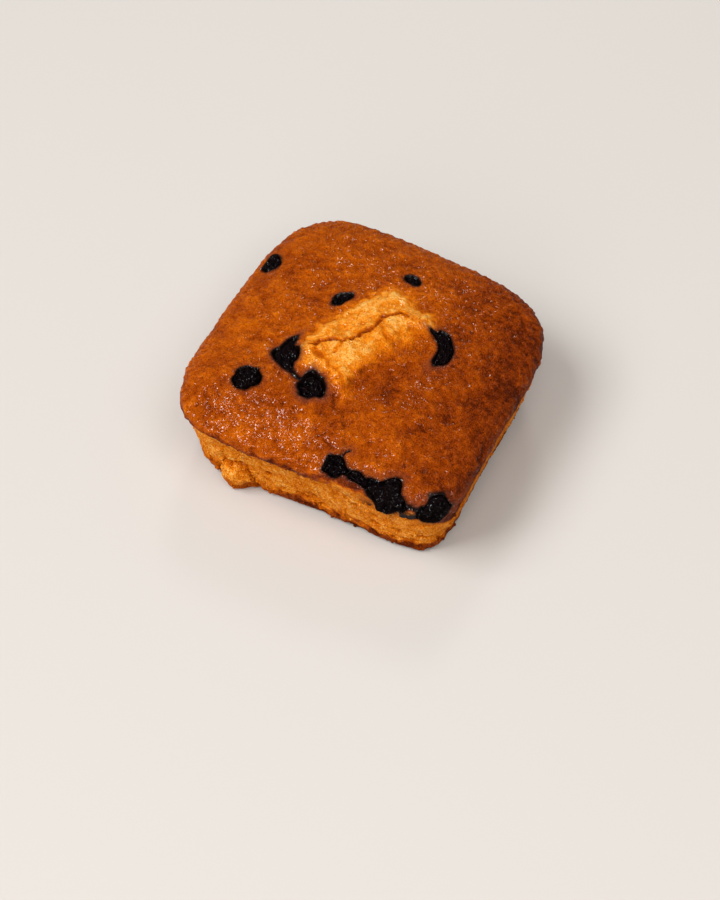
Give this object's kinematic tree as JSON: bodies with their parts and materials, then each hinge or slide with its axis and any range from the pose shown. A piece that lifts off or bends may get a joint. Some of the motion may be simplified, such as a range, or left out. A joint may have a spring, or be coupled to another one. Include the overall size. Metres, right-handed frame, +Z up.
{
  "type": "berry muffin",
  "caption": "Square berry muffin with a low domed crust, tapered sides, burst berries in the top and along the front edge.",
  "frame": {"origin": "centre of the muffin's box in plan, on the plane that it stands on", "axes": "+Z up through the crust; -Y towards the front, where the berries lie along the crust's edge; +X to the right seen from the front"},
  "size_m": [0.0906, 0.0926, 0.0369],
  "materials": {
    "crust": "baked golden brown, satin crust over soft matte crumb",
    "berry_skin": "baked, wrinkled, wet and glossy, nearly black"
  },
  "bodies": {
    "root": {"cake": "crust", "berry_left_corner": "berry_skin", "berry_round_left": "berry_skin", "berry_star": "berry_skin", "berry_round_middle": "berry_skin", "berry_slit_left": "berry_skin", "berry_slit_back": "berry_skin", "berry_kidney": "berry_skin", "berry_front_small": "berry_skin", "berry_front_tail": "berry_skin", "berry_front_burst": "berry_skin", "berry_front_corner": "berry_skin"}
  },
  "joints": []
}
